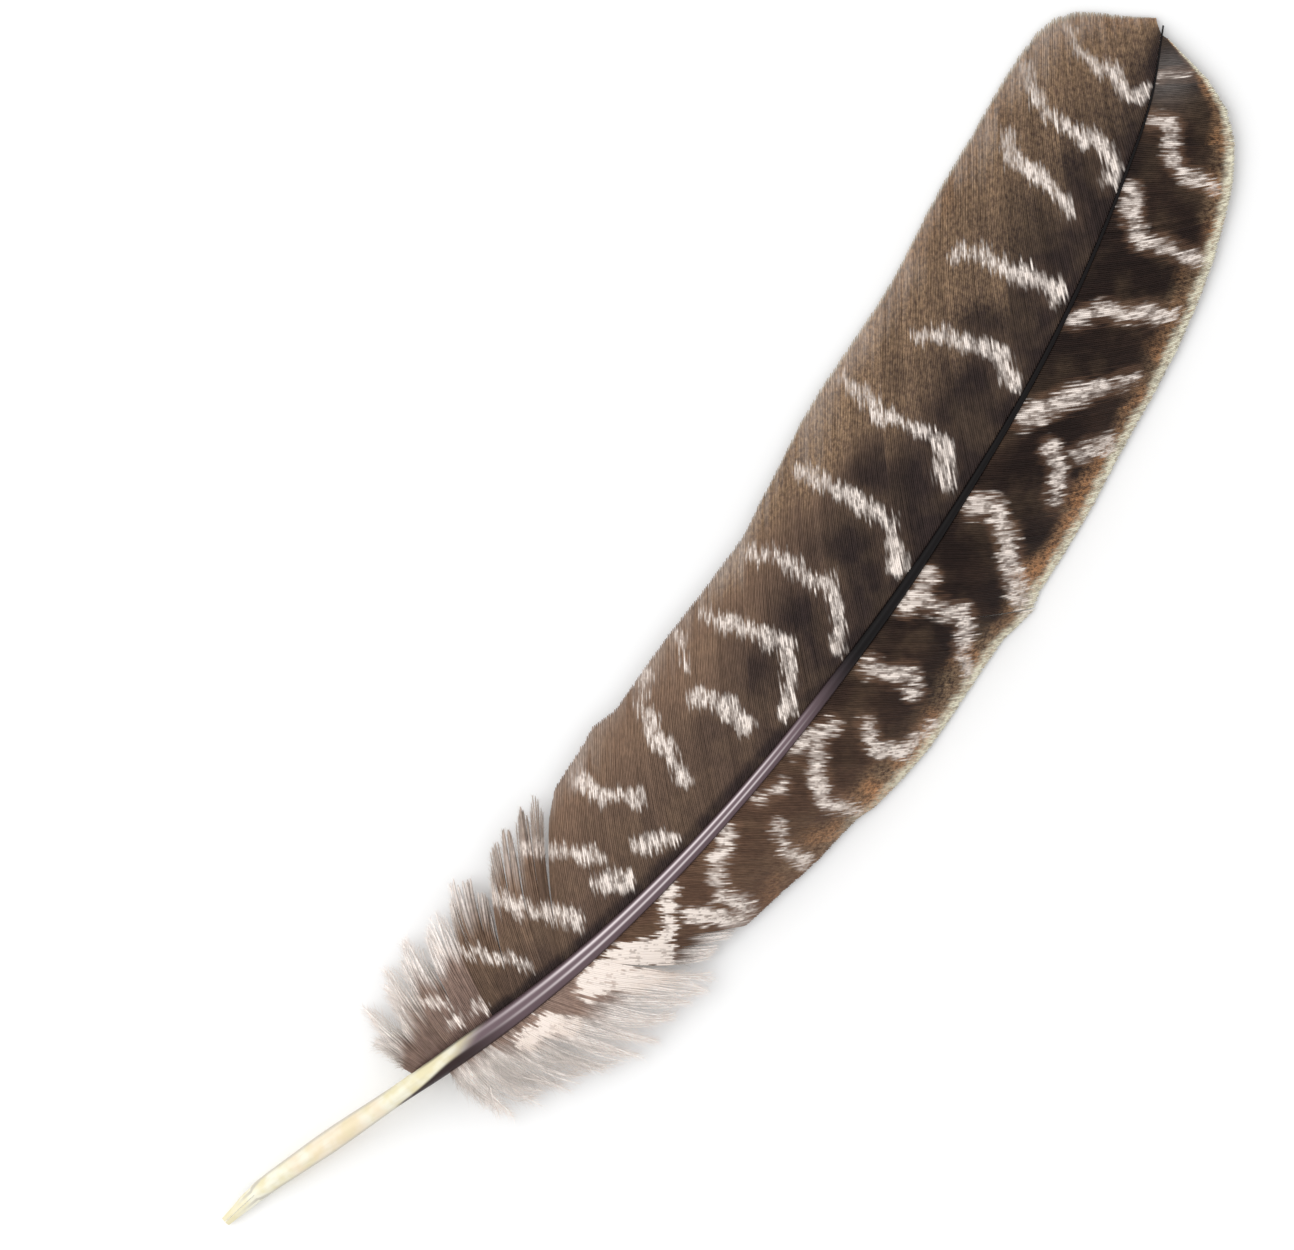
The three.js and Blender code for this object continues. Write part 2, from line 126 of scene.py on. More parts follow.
NARROW_VANE = {
    "narrow_down_1": (57, 61, [(54.6, -28.5), (55.2, -33), (59, -37)], 1.0, 0.06, 1.0),
    "narrow_down_2": (61, 67, [(59.5, -37.4), (65, -39.6), (70, -41)], 1.0, 0.1, 1.0),
    "narrow_down_3": (67, 74, [(70.5, -41.2), (76, -45), (80.3, -47.2)], 1.0, 0.2, 1.0),
    "narrow_down_4": (74, 81, [(80.8, -47), (86, -49), (91.2, -50.3)], 1.0, 0.3, 1.0),
    "narrow_down_5": (81, 88, [(91.7, -50), (97, -50.5), (101, -51.5)], 0.9, 0.4, 0.9),
    "narrow_down_6": (88, 95, [(101.5, -51), (108.8, -53.3), (108, -49.5)], 0.8, 0.52, 0.75),
    "narrow_web_01": (95, 103, [(108.8, -48), (114, -48.6), (119.5, -49.4)], 0.5, 0.74, 0.4),
    "narrow_web_02": (103, 128, [(120.3, -49.8), (130, -51.5), (140, -53.3), (147, -54)], 0.06, 0.97, 0.0),
    "narrow_web_03": (128, 138, [(147, -54), (153, -54.6), (157.2, -56)], 0.05, 0.97, 0.0),
    "narrow_web_04": (138, 165, [(157.2, -56), (166, -57.1), (175, -57.6), (185, -57)], 0.04, 0.97, 0.0),
    "narrow_web_05": (165, 191, [(185, -57), (195, -56.2), (203, -55.8), (212.3, -57)], 0.04, 0.97, 0.0),
    "narrow_web_06": (191, 215, [(212.8, -56.6), (216, -55.6), (226, -54.7), (238, -53.2)], 0.04, 0.97, 0.0),
    "narrow_web_07": (215, 240, [(238, -53.2), (250, -51), (264, -48.9)], 0.04, 0.97, 0.0),
    "narrow_web_08": (240, 262, [(264, -48.9), (275, -46.9), (286, -44.2)], 0.04, 0.97, 0.0),
    "narrow_web_09": (262, 283, [(286, -44.2), (296, -41), (305, -37.2)], 0.04, 0.97, 0.0),
    "narrow_web_10": (283, 305, [(305, -37.2), (312, -33.8), (318.5, -29)], 0.05, 0.97, 0.0),
    "narrow_web_11": (305, 327, [(318.5, -29), (323, -23.5), (325.7, -16), (327.2, -4)], 0.08, 0.97, 0.0),
}

# The white bars: half a bar's width, and the line along its middle.
WIDE_BARS = [
    (1.3, [(62, -1), (65, -5), (68, -10)]), (1.2, [(65, -12), (66, -13)]), (1.0, [(71, -15), (72, -16)]),
    (1.3, [(75, 0), (79, -6)]), (1.5, [(80, -7), (85, -18)]), (1.8, [(92, -3), (95, -11), (99, -20)]),
    (1.9, [(103, 0), (108, -8), (112, -14)]), (2.2, [(109, -19), (112, -22.5)]),
    (1.9, [(123, -2), (124, -8), (128, -14)]), (1.5, [(120, -20), (125, -25)]),
    (1.1, [(150, 1), (143, -3)]), (1.8, [(143, -4), (140, -8), (140, -12), (137, -19)]),
    (1.0, [(161, 0), (156, -5)]), (2.0, [(153, -11), (155, -16), (154, -22)]),
    (2.0, [(168, -3), (170, -8), (171, -13), (173, -19)]), (1.7, [(173, -19), (168, -24), (161, -28)]),
    (1.9, [(184, -2), (187, -6), (187, -12), (189, -18)]), (1.6, [(189, -18), (184, -25), (179, -28)]),
    (2.1, [(205, 1), (206, -8), (207, -15), (207, -20)]), (1.8, [(207, -20), (203, -25), (200, -28)]),
    (2.0, [(226, 6), (226, 0), (224, -5)]), (1.6, [(225, -6), (227, -12), (228, -18)]),
    (1.9, [(228, -18), (224, -22), (222, -25)]), (1.8, [(243, 0), (246, -4), (247, -8), (249, -12)]),
    (1.9, [(249, -12), (250, -17), (247, -23)]), (2.2, [(262, 4), (265, 0), (265, -5), (267, -10)]),
    (2.2, [(267, -10), (268, -13), (268, -18)]), (1.9, [(290, 11), (286, 8), (286, 3), (285, -3)]),
    (1.7, [(285, -3), (284, -10)]), (1.7, [(304, 17), (299, 11), (298, 6), (298, 0)]),
    (1.9, [(298, 0), (300, -6), (298, -11), (295, -13)]), (1.6, [(316, 14), (313, 10), (313, 5)]),
    (1.7, [(313, 5), (314, 0), (312, -4), (315, -7)]),
]
NARROW_BARS = [
    (1.8, [(72, -27), (78, -29), (80, -33)]), (2.9, [(90, -30.5), (98, -32), (104, -38)]),
    (2.4, [(93, -33), (101, -42)]),
    (1.3, [(118, -31), (112, -34), (108, -37)]), (2.0, [(134, -33), (127, -36), (122, -41), (123, -47)]),
    (2.1, [(115, -39), (120, -47)]), (1.2, [(143, -34.5), (149, -36.5)]),
    (1.5, [(141, -41), (138, -46), (139, -51)]), (1.9, [(157, -34.5), (165, -37)]),
    (1.8, [(161, -37), (155, -41), (152, -46), (154, -53)]), (1.6, [(170, -43), (167, -48), (170, -53)]),
    (1.4, [(170, -53), (178, -54.5)]), (1.9, [(180, -35), (181, -39), (184, -44), (182, -47)]),
    (2.0, [(195, -34), (203, -34)]), (1.7, [(198, -36), (200, -42), (202, -45)]),
    (1.7, [(201, -46), (195, -50), (192, -54)]), (2.2, [(221, -32), (223, -36), (221, -41)]),
    (2.4, [(221, -41), (216, -47), (211, -55)]), (2.0, [(241, -38), (239, -42), (233, -45.5)]),
    (1.6, [(243, -43), (250, -47)]), (2.1, [(242, -29.5), (250, -33), (255, -36)]),
    (1.5, [(255, -36), (262, -41), (265, -43)]), (1.9, [(266, -25), (271, -28), (274, -33), (278, -38)]),
    (1.7, [(278, -38), (281, -42)]), (1.8, [(296, -17.5), (291, -21), (288, -26), (291, -31), (293, -38)]),
    (1.6, [(311, -12), (313, -16), (307, -20), (306, -25), (308, -31)]), (0.7, [(320, -8), (324, -12)]),
]


def smooth(table, x):
    """A smooth value at each x through a table of (x, value) rows."""
    rows = np.array(table, float)
    x = np.asarray(x, float)
    px, py = rows[:, 0], rows[:, 1]
    slopes = np.empty(len(rows))
    slopes[1:-1] = (py[2:] - py[:-2]) / (px[2:] - px[:-2])
    slopes[0] = (py[1] - py[0]) / (px[1] - px[0])
    slopes[-1] = (py[-1] - py[-2]) / (px[-1] - px[-2])
    k = np.clip(np.searchsorted(px, x, side="right"), 1, len(rows) - 1)
    span = px[k] - px[k - 1]
    t = np.clip((x - px[k - 1]) / span, 0, 1)
    blend = t * t * (3 - 2 * t)
    lean = t * (1 - t) ** 2 * span * slopes[k - 1] + t * t * (t - 1) * span * slopes[k]
    return py[k - 1] + (py[k] - py[k - 1]) * blend + lean


def smoothstep(low, high, x):
    """A smooth rise from 0 at low to 1 at high, or a fall where low is the larger of the two."""
    t = np.clip((np.asarray(x, float) - low) / (high - low), 0, 1)
    return t * t * (3 - 2 * t)


def axis_height(x):
    """Height of the shaft's axis above the table: a low arch from the nib to the feather's tip."""
    t = np.asarray(x, float) / LENGTH
    return NIB_AXIS_Z + (TIP_AXIS_Z - NIB_AXIS_Z) * t + 4 * ARCH * t * (1 - t)


def axis_point(x):
    """The point on the shaft's axis at each x."""
    x = np.asarray(x, float)
    return np.stack([x, smooth(SHAFT_LINE, x), axis_height(x)], -1)


def unit(v):
    return v / np.linalg.norm(v, axis=-1, keepdims=True)


def axis_frame(x):
    """The shaft's directions at each x: along it, across it towards the wide vane, and up."""
    x = np.asarray(x, float)
    along = unit(axis_point(x + 0.5) - axis_point(x - 0.5))
    across = unit(np.cross([0.0, 0.0, 1.0], along))
    return along, across, np.cross(along, across)


def half_sizes(x):
    """Half the shaft's width and half its height at each x."""
    half_width = smooth(SHAFT_WIDTH, x) / 2
    return half_width, half_width * (1 + 0.15 * smoothstep(BARREL_END, 120, x))


def margin_height(x, side):
    """How high a vane's edge lies: it touches the table at one x and lifts away from there.

    Side is 1 on the wide vane and -1 on the narrow one, here and throughout.
    """
    touch, period, lift = (290, 320, 3.0) if side > 0 else (212, 300, 2.5)
    return MARGIN_THICKNESS / 2 + lift * np.sin(np.pi * (np.asarray(x) - touch) / period) ** 2


def groove_at(x):
    """How deep the groove along the shaft's underside is, as a share of half the shaft's height."""
    return 0.45 * smoothstep(BARREL_END + 4, 80, x) * (1 - smoothstep(230, 320, x))


def shaft_ring(x, inset, angles):
    """Points round the shaft at one x. Angle 0 is the top, and positive turns towards the narrow vane."""
    centre = axis_point(x)
    _, across, up = axis_frame(x)
    half_width, half_height = half_sizes(x)
    from_groove = np.abs(np.cos(angles / 2))
    groove = groove_at(x) * half_height * np.exp(-((from_groove / 0.22) ** 2))
    sideways = -np.sin(angles) * (half_width - inset)
    upwards = np.cos(angles) * (half_height - inset) + groove
    return centre + sideways[:, None] * across + upwards[:, None] * up


def row_origin():
    """Where the feather's own frame starts in the CAD model's frame, from the shaft's place there."""
    rings = [shaft_ring(x, 0, np.linspace(0, 2 * np.pi, 20, False)) for x in (BARREL_END + GAP / 2, LENGTH)]
    lowest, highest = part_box("rachis_shell")
    own = np.concatenate(rings)
    top_x = np.linspace(*CREST_RANGE, 201)
    crest = (axis_point(top_x) + axis_frame(top_x)[2] * half_sizes(top_x)[1][:, None])[:, 2].max()
    start_x = lowest.x * 1000 - own[:, 0].min()
    start_y = highest.y * 1000 - own[:, 1].max()
    return np.array([start_x, start_y, highest.z * 1000 - crest])


ORIGIN = row_origin()


def to_row(points):
    """Places in the feather's own frame as places in the CAD model's frame, in metres."""
    return (np.asarray(points, float) + ORIGIN) / 1000


# -------- meshes
def new_mesh(name, points, quads, uvs=None, attributes=None):
    """A mesh object from points in millimetres, four-cornered faces, one UV per corner and point values."""
    mesh = bpy.data.meshes.new(name)
    rows = to_row(points).astype(np.float32)
    quads = np.asarray(quads, np.int32)
    mesh.vertices.add(len(rows))
    mesh.vertices.foreach_set("co", rows.ravel())
    mesh.loops.add(quads.size)
    mesh.loops.foreach_set("vertex_index", quads.ravel())
    mesh.polygons.add(len(quads))
    mesh.polygons.foreach_set("loop_start", np.arange(0, quads.size, 4, dtype=np.int32))
    mesh.update(calc_edges=True)
    if uvs is not None:
        layer = mesh.uv_layers.new(name="OFBake")
        layer.data.foreach_set("uv", np.asarray(uvs, np.float32).ravel())
    for key, values in (attributes or {}).items():
        layer = mesh.attributes.new(key, "FLOAT", "POINT")
        layer.data.foreach_set("value", np.asarray(values, np.float32).ravel())
    mesh.polygons.foreach_set("use_smooth", np.ones(len(quads), bool))
    mesh.validate()
    piece = bpy.data.objects.new(name, mesh)
    bpy.context.scene.collection.objects.link(piece)
    return piece


def finish_piece(piece, material, slot, *nodes):
    """Gives a piece its material and its body, and hides the CAD nodes that it stands for. slot is not used.
    """
    piece.data.materials.append(material)
    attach(piece, "root")
    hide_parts(*nodes)


def grid_quads(rows, columns, wrap=False, first=0):
    """Faces of a grid of points stored row by row."""
    r = np.arange(rows - 1)[:, None]
    c = np.arange(columns if wrap else columns - 1)[None, :]
    nxt = (c + 1) % columns
    quads = np.stack([r * columns + c, r * columns + nxt, (r + 1) * columns + nxt, (r + 1) * columns + c], -1)
    return quads.reshape(-1, 4) + first


# -------- value noise
class Noise:
    """Smooth seeded noise between -1 and 1 over two coordinates. It repeats every size units."""

    size = 256

    def __init__(self, seed):
        self.table = np.random.default_rng(seed).uniform(-1, 1, (self.size, self.size))

    def at(self, column, row):
        return self.table[column % self.size, row % self.size]

    def __call__(self, x, y):
        x, y = np.broadcast_arrays(np.asarray(x, float), np.asarray(y, float))
        ix, iy = np.floor(x).astype(int), np.floor(y).astype(int)
        fx, fy = x - ix, y - iy
        fx, fy = fx * fx * (3 - 2 * fx), fy * fy * (3 - 2 * fy)
        low = self.at(ix, iy) * (1 - fx) + self.at(ix + 1, iy) * fx
        high = self.at(ix, iy + 1) * (1 - fx) + self.at(ix + 1, iy + 1) * fx
        return low * (1 - fy) + high * fy


# -------- vane pattern
def distance_to_bars(points, bars):
    """How far inside the nearest bar each point is, in millimetres; negative outside."""
    best = np.full(points.shape[:-1], -50.0)
    for half_width, line in bars:
        for a, b in zip(line, line[1:]):
            a, b = np.array(a, float), np.array(b, float)
            run = b - a
            t = np.clip(((points - a) @ run) / (run @ run), 0, 1)
            gap = np.linalg.norm(points - (a + t[..., None] * run), axis=-1)
            best = np.maximum(best, half_width - gap)
    return best


def white_bars(plan, direction, f, along, lane, side, noise):
    """How white each point is. A bar reaches further along one barb than along the next, and is streaky.

    The bars break up towards the wide vane's edge, and are solid patches at the foot of the narrow vane.
    The patches go over 1, so that the material's streaks don't break them.
    """
    x, y = plan[..., 0], plan[..., 1]
    shift = 0.75 * noise(lane * 0.93, 3.3) + 0.6 * noise(lane * 0.19, 8.1)
    slid = plan + direction * shift[..., None]
    inside = distance_to_bars(slid, WIDE_BARS if side > 0 else NARROW_BARS)
    if side > 0:
        broken = smoothstep(0.4, 1.0, f) * smoothstep(170, 230, x)
        solid = 0.0
    else:
        broken = 0.3 * smoothstep(0.8, 1.0, f)
        solid = smoothstep(124, 104, x)
    inside = inside - 0.5 + 0.8 * noise(x * 0.3, y * 0.3 + 40) + 1.25 * noise(lane * 1.31, along * 0.4)
    inside = inside - 0.7 * broken + 0.35 * solid
    strength = 0.84 + 0.5 * noise(lane * 0.77 + 50, along * 0.28) + 0.3 * solid
    most = 1 + 1.3 * solid
    white = smoothstep(-1.0, 0.75, inside) * strength * (1 - 0.35 * broken) * most
    return np.clip(white, 0, most)


def wide_looks(x, y, f, cloud, between, loose_end, noise):
    """The wide vane: dark along the shaft, with painted shade at the barbs' bases, mottled with tan towards
    its edge.
    """
    mottle_start = 0.86 - 0.62 * smoothstep(150, 275, x)
    mottle = smoothstep(mottle_start - 0.14, mottle_start + 0.2, f + 0.13 * cloud)
    mottle = mottle * (0.25 + 0.75 * smoothstep(140, 205, x))
    reach = 0.82 + 0.12 * smoothstep(245, 290, x)
    inner = smoothstep(reach, 0.24, f + 0.16 * cloud) * (0.45 + 0.55 * smoothstep(120, 180, x))
    fading = 0.62 * smoothstep(0.9, 0.05, f) + 0.12 * noise(x / 14, y / 14)
    # Painted shade along the barbs' bases, where they dip below the shaft's edge.
    painted_shaft_shade = smoothstep(0.15, 0.03, f) * smoothstep(48, 53, x)
    dark = np.maximum(inner * (0.82 + 0.18 * between), fading)
    dark = np.maximum(dark, painted_shaft_shade)
    return {
        "mottle": mottle * (1 - 0.75 * np.clip(dark, 0, 1)),
        "rust": 0.3 * smoothstep(0.8, 1, f) * smoothstep(190, 250, x),
        "cream": 0.45 * smoothstep(0.965, 1.0, f) * smoothstep(165, 230, x),
        "dark": dark,
        "grey": loose_end * (1 - 0.75 * smoothstep(76, 106, x)),
    }


def narrow_looks(x, y, f, lane, cloud, between, loose_end, noise):
    """The narrow vane: near-black between its bars, rusty towards its edge, with a cream fringe."""
    past_foot = smoothstep(112, 165, x)
    edge = smoothstep(0.55 + 0.15 * smoothstep(150, 200, x), 0.9, f + 0.12 * cloud)
    fringe = smoothstep(0.87, 0.96, f + 0.02 * noise(x / 2, 3) + 0.015 * noise(lane, 4))
    dark = (0.3 + 0.7 * between + 0.2 * noise(x / 7, y / 7)) * (1 - 0.8 * smoothstep(0.7, 0.95, f))
    grey = loose_end * (1 - smoothstep(112, 126, x))
    at_tip = 0.15 * np.exp(-(((x - 321) / 6) ** 2) - ((y + 9) / 5) ** 2)
    return {
        "mottle": edge * past_foot * 0.9,
        "rust": edge * past_foot * np.clip(0.35 + 0.95 * noise(x / 4 + 9, y / 4), 0, 1),
        "cream": fringe * smoothstep(140, 175, x),
        "dark": dark * (0.3 + 0.7 * smoothstep(118, 205, x)),
        "grey": np.maximum(grey, at_tip),
    }


def vane_masks(plan, direction, f, along, lane, side, parted, noise):
    """How far each look shows at each point of each barb: 0 is not at all, 1 is fully."""
    x, y = plan[..., 0], plan[..., 1]
    cloud = noise(x / 9, y / 9)
    beyond = -distance_to_bars(plan, WIDE_BARS if side > 0 else NARROW_BARS)
    between = smoothstep(0.2, 4.0 if side > 0 else 2.0, beyond + 0.8 * noise(lane * 0.8, along * 0.3))
    loose_end = smoothstep(parted - 0.2, parted + 0.16, f + 0.1 * cloud + 0.08 * noise(lane * 0.6, f * 3))
    if side > 0:
        masks = wide_looks(x, y, f, cloud, between, loose_end, noise)
    else:
        masks = narrow_looks(x, y, f, lane, cloud, between, loose_end, noise)
    for key in ("mottle", "dark", "grey"):
        masks[key] = np.clip(masks[key], 0, 1)
    masks["white"] = white_bars(plan, direction, f, along, lane, side, noise) * (1 - 0.4 * loose_end)
    return masks


# -------- barbs
class MeshParts:
    """Points, faces, texture places and point values of a mesh that is made in several goes."""

    def __init__(self):
        self.points, self.quads, self.uvs, self.values = [], [], [], []
        self.size = 0

    def add(self, points, quads, uvs, values):
        self.points.append(points.reshape(-1, 3))
        self.quads.append(quads + self.size)
        self.uvs.append(uvs)
        self.values.append(values)
        self.size += len(self.points[-1])

    def make(self, name):
        values = {key: np.concatenate([part[key] for part in self.values]) for key in self.values[0]}
        joined = [np.concatenate(rows) for rows in (self.points, self.quads, self.uvs)]
        return new_mesh(name, *joined, values)


def along_margin(margin, t):
    """Points at shares t, by length, of the line through a web's barb ends."""
    corners = np.array(margin, float)
    lengths = np.concatenate([[0], np.cumsum(np.linalg.norm(np.diff(corners, axis=0), axis=1))])
    at = np.asarray(t) * lengths[-1]
    return np.stack([np.interp(at, lengths, corners[:, 0]), np.interp(at, lengths, corners[:, 1])], -1)


def barb_curves(start, stop, margin, side, t, f):
    """Centre lines of barbs at shares t of a web, as an array of barb by point by coordinate."""
    root_x = start + (stop - start) * t
    _, across, _ = axis_frame(root_x)
    half_width, half_height = half_sizes(root_x)
    root = axis_point(root_x) + across * (side * half_width * 0.86)[:, None]
    root[:, 2] += WEB_ATTACH * half_height
    end = along_margin(margin, t)
    chord = end - root[:, :2]
    bow = np.stack([-chord[:, 1], chord[:, 0]], -1) * (side * 2 * BARB_BOW)
    lift = margin_height(end[:, 0], side) - root[:, 2]
    plan = root[:, None, :2] + chord[:, None] * f[None, :, None] + bow[:, None] * (f * (1 - f))[None, :, None]
    height = root[:, None, 2] + lift[:, None] * f[None, :] ** DROOP_POWER
    return np.concatenate([plan, height[..., None]], -1)


def shortened(centre, f, ends):
    """The same barbs, each cut to its own share of its length."""
    return np.stack([
        np.stack([np.interp(f * end, f, barb[:, k]) for k in range(3)], -1) for barb, end in zip(centre, ends)
    ])


def clumped(centre, loose, f, rng):
    """Barbs drawn together into parted clumps towards their ends."""
    count = len(centre)
    sizes = []
    while sum(sizes) < count:
        sizes.append(int(rng.integers(4, 14)))
    clump = np.repeat(np.arange(len(sizes)), sizes)[:count]
    middles = np.stack([centre[clump == k].mean(0) for k in range(clump[-1] + 1)])
    pull = ((0.32 + 0.3 * loose) * f ** 4)[None, :, None]
    moved = centre + (middles[clump] - centre) * pull
    reach = np.clip(f - 0.55, 0, 1) ** 1.5
    sway = rng.normal(0, 1, (len(middles), 1, 1)) * np.array([2.2, 1.4, 0.3]) * loose
    stray = rng.normal(0, 1, (count, 1, 3)) * np.array([0.55, 0.55, 0.3]) * loose
    return moved + sway[clump] * reach[None, :, None] + stray * (f ** 3.5)[None, :, None]


def directions(centre):
    """Each barb's own directions at each of its points: along it, across it and up from it."""
    tangent = unit(np.gradient(centre, axis=1))
    sideways = unit(np.cross([0.0, 0.0, 1.0], tangent))
    return tangent, sideways, unit(np.cross(tangent, sideways))


def add_strips(parts, centre, half, ridge, lap, masks):
    """Barbs as closed four-sided strips: two edges, a raised ridge and a keel. The edges lap like tiles."""
    count, samples = centre.shape[:2]
    _, sideways, normal = directions(centre)
    half = half[..., None]
    ring = [
        centre + sideways * half + normal * lap, centre + normal * ridge,
        centre - sideways * half - normal * lap, centre - normal * ridge,
    ]
    starts = (np.arange(count) * samples * 4)[:, None, None]
    quads = (grid_quads(samples, 4, wrap=True)[None] + starts).reshape(-1, 4)
    ends = np.array([[3, 2, 1, 0], [(samples - 1) * 4 + c for c in range(4)]])
    end_quads = (ends[None] + starts).reshape(-1, 4)
    values = {key: np.repeat(value.reshape(-1), 4) for key, value in masks.items()}
    uvs = strip_uvs(quads, samples, count)
    parts.add(np.stack(ring, 2), np.concatenate([quads, end_quads]), uvs, values)


def strip_uvs(quads, samples, count):
    """Each barb has its own row of the texture: its upper side on the left, its underside on the right."""
    barb = quads[:, 0] // (samples * 4)
    along = (quads % (samples * 4)) // 4 / (samples - 1)
    upper = (np.tile(np.arange(4), len(quads) // 4) < 2)[:, None]
    corner = quads % 4
    across = np.where(upper, np.array([0.0, 0.5, 1.0, 1.0])[corner], np.array([1.0, 1.0, 0.0, 0.5])[corner])
    u = np.where(upper, 0.01, 0.51) + 0.48 * along
    v = (barb[:, None] + 0.15 + 0.7 * across) / count
    end_u = np.tile([0.01, 0.488], count)[:, None] + np.array([0, 0, 0.002, 0.002])
    end_v = (np.repeat(np.arange(count), 2)[:, None] + np.array([0.3, 0.6, 0.6, 0.3])) / count
    return np.concatenate([np.stack([u, v], -1), np.stack([end_u, end_v], -1)])


def add_barbules(parts, centre, masks, first, per_side, length, rng):
    """Two rows of long fine barbules along each barb, from share first of its length to its end."""
    count, samples = centre.shape[:2]
    tangent, sideways, normal = directions(centre)
    barbs = np.arange(count)[:, None]
    for hand in (1, -1):
        at = np.linspace(first, 0.995, per_side)[None] + rng.normal(0, 0.006, (count, per_side))
        at = np.clip(at, 0, 1)
        low = np.clip(np.floor(at * (samples - 1)).astype(int), 0, samples - 2)
        part = (at * (samples - 1) - low)[..., None]

        def pick(values):
            return values[barbs, low] * (1 - part) + values[barbs, low + 1] * part

        base, along, out, up = pick(centre), pick(tangent), pick(sideways) * hand, pick(normal)
        part_way = np.clip((at - first) / (1.001 - first), 0, 1)
        size = length * (0.45 + 0.55 * np.sin(np.pi * part_way))[..., None]
        size = size * rng.uniform(0.5, 1.3, size.shape) / 2
        lean = rng.normal(0, 0.2, size.shape)
        middle = base + (along * 0.75 + out * 0.5 + up * lean) * size
        drift = rng.normal(0, 0.25, size.shape)
        tip = middle + (along * 0.95 + out * (0.3 + drift) + up * lean) * size
        for spot in (middle, tip):
            spot[..., 2] = np.maximum(spot[..., 2], 0.25)
        rim = unit(np.cross(along + out, up))
        rings = [
            np.stack([spot + rim * r, spot + up * r * 1.2, spot - rim * r], 2)
            for spot, r in ((base, 0.026), (middle, 0.022), (tip, 0.01))
        ]
        total = count * per_side
        shape = grid_quads(3, 3, wrap=True)
        quads = (shape[None] + (np.arange(total) * 9)[:, None, None]).reshape(-1, 4)
        values = {key: np.repeat(value[barbs, low].reshape(-1), 9) for key, value in masks.items()}
        u = 0.01 + 0.47 * np.repeat(at.reshape(-1), len(shape))[:, None] + np.array([0, 0.004, 0.004, 0])
        owner = np.repeat(np.repeat(np.arange(count), per_side), len(shape))
        v = (owner[:, None] + np.array([0.3, 0.3, 0.7, 0.7])) / count
        parts.add(np.stack(rings, 2), quads, np.stack([u, v], -1), values)


def web_barbs(layout, side, rng, noise):
    """The centre lines of a web's barbs, their sample shares f, and the room that each barb has sideways."""
    start, stop, margin, loose, parted, fluff = layout
    probe = barb_curves(start, stop, margin, side, np.array([0.0, 0.5, 1.0]), np.array([0.5, 0.55]))
    width = np.linalg.norm(np.cross(probe[2, 0] - probe[0, 0], unit(probe[1, 1] - probe[1, 0])))
    count = max(10, int(round(width / BARB_PITCH)))
    reach = np.linalg.norm(along_margin(margin, 0.5) - axis_point((start + stop) / 2)[:2])
    f = np.linspace(0, 1, max(26, int(reach / 0.7)))
    shares = np.linspace(0.15, count - 0.15, count) / count
    centre = barb_curves(start, stop, margin, side, shares, f)
    ends = 1 - np.abs(rng.normal(0, 0.0025 + 0.085 * loose, count))
    centre = shortened(centre, f, np.clip(ends, 0.6, 1.0))
    spacing = np.abs(np.sum(np.gradient(centre, axis=0) * directions(centre)[1], -1))
    if loose > 0.2:
        centre = clumped(centre, loose, f, rng)
    lane = np.arange(count)[:, None] * 1.0
    if fluff > 0:
        waves = [noise(lane * 0.23 + k * 31, f[None] * 2.6 + k) for k in range(3)]
        stray = np.clip(f - 0.5 * parted, 0, 1) ** 1.3
        centre = centre + np.stack(waves, -1) * np.array([2.6, 2.6, 1.0]) * stray[None, :, None] * fluff
    wobble = noise(lane * 3.7, f[None] * 9) * 0.12 * spacing
    centre = centre + directions(centre)[1] * wobble[..., None]
    centre[..., 2] = np.maximum(centre[..., 2] + rng.normal(0, 0.02, count)[:, None], 0.2)
    return centre, f, spacing


def web_masks(layout, side, centre, f, rng, noise):
    """The point values that the barbs' material reads: the vane's looks, tone, and place on each barb."""
    start, _, _, _, parted, fluff = layout
    count = len(centre)
    lane = np.arange(count)[:, None] * 1.0
    steps = np.linalg.norm(np.diff(centre, axis=1), axis=-1)
    along = np.concatenate([np.zeros((count, 1)), np.cumsum(steps, axis=1)], axis=1)
    plan = centre[..., :2]
    heading = directions(centre)[0][..., :2]
    masks = vane_masks(plan, heading, f[None, :], along, lane, side, parted, noise)
    x = centre[..., 0]
    tone = 0.46 + 0.42 * smoothstep(0.45, 1.0, f)[None, :] * smoothstep(230, 170, start)
    tone = tone + 0.34 * smoothstep(72, 100, x) * smoothstep(225, 140, x)
    tone = tone + (0.2 + 0.2 * fluff) * rng.uniform(-1, 1, count)[:, None]
    masks["tone"] = tone + 0.4 * noise(lane * 0.35, 5.5)
    masks["lane"] = lane
    masks["along"] = along
    return {key: value + np.zeros((count, len(f))) for key, value in masks.items()}


def make_web(name, layout, side, material, slot, seed):
    """One web, tuft or piece of down: barbs that lap like tiles up to where they part, then hang loose."""
    _, _, _, loose, parted, fluff = layout
    rng = np.random.default_rng(seed)
    noise = Noise(seed + 1)
    centre, f, spacing = web_barbs(layout, side, rng, noise)
    masks = web_masks(layout, side, centre, f, rng, noise)
    free = smoothstep(parted - 0.05, parted + 0.25, f)[None, :] * min(1.0, 1.6 * loose)
    tip = 1 - 0.6 * smoothstep(0.97, 1.0, f)[None, :]
    strand = np.maximum(0.17 - 0.08 * f[None, :], spacing * 0.5 * max(0.0, 1 - 1.6 * fluff))
    half = (spacing * 0.66 * (1 - free) + strand * free) * tip
    ridge = 0.11 - 0.04 * free[..., None]
    lap = 0.05 * (1 - free[..., None])
    parts = MeshParts()
    add_strips(parts, centre, half, ridge, lap, masks)
    if fluff > 0:
        fringe = {**masks, "grey": np.clip(masks["grey"] + 0.45 * free, 0, 1)}
        per_side = int(12 + 22 * fluff)
        add_barbules(parts, centre, fringe, max(0.04, parted - 0.1), per_side, 1.0 + 2.6 * fluff, rng)
    finish_piece(parts.make(name), material, slot, name)


